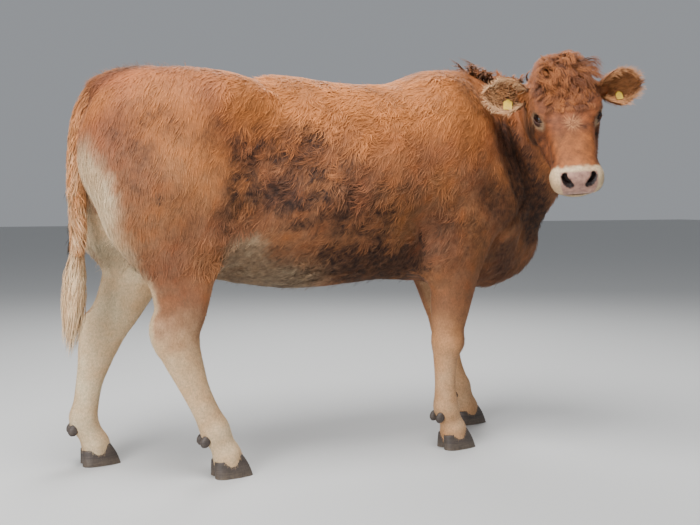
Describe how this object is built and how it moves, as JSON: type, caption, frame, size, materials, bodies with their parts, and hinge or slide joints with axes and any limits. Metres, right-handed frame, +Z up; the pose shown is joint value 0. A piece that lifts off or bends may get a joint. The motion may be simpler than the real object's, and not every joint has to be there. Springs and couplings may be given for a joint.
{
  "type": "cow",
  "caption": "Life-size still model of a young hornless red-brown beef cow that stands with its head turned back to its right, tail hanging, tags in its ears.",
  "frame": {"origin": "on the floor, under the middle of the animal's bounding box", "axes": "+X towards the brisket, +Y to the animal's left, +Z up"},
  "size_m": [1.8896, 0.8924, 1.4013],
  "materials": {
    "coat": "matt red-brown hair",
    "pale_coat": "matt pale cream-brown hair",
    "horn": "dull dark horn",
    "eye": "glossy dark eye",
    "tag": "satin yellow plastic"
  },
  "bodies": {
    "root": {"claw_front_left_inner": "horn", "claw_front_left_outer": "horn", "claw_front_right_inner": "horn", "claw_front_right_outer": "horn", "claw_hind_left_inner": "horn", "claw_hind_left_outer": "horn", "claw_hind_right_inner": "horn", "claw_hind_right_outer": "horn", "dewclaw_front_left_inner": "horn", "dewclaw_front_left_outer": "horn", "dewclaw_front_right_inner": "horn", "dewclaw_front_right_outer": "horn", "dewclaw_hind_left_inner": "horn", "dewclaw_hind_left_outer": "horn", "dewclaw_hind_right_inner": "horn", "dewclaw_hind_right_outer": "horn", "ear_left": "coat", "ear_right": "coat", "eye_left": "eye", "eye_right": "eye", "head": "coat", "leg_front_left": "coat", "leg_front_right": "coat", "leg_hind_left": "coat", "leg_hind_right": "coat", "neck": "coat", "shank_front_left": "pale_coat", "shank_front_right": "pale_coat", "shank_hind_left": "pale_coat", "shank_hind_right": "pale_coat", "tag_left": "tag", "tag_right": "tag", "tail": "coat", "tail_switch": "pale_coat", "torso": "coat"}
  },
  "joints": []
}
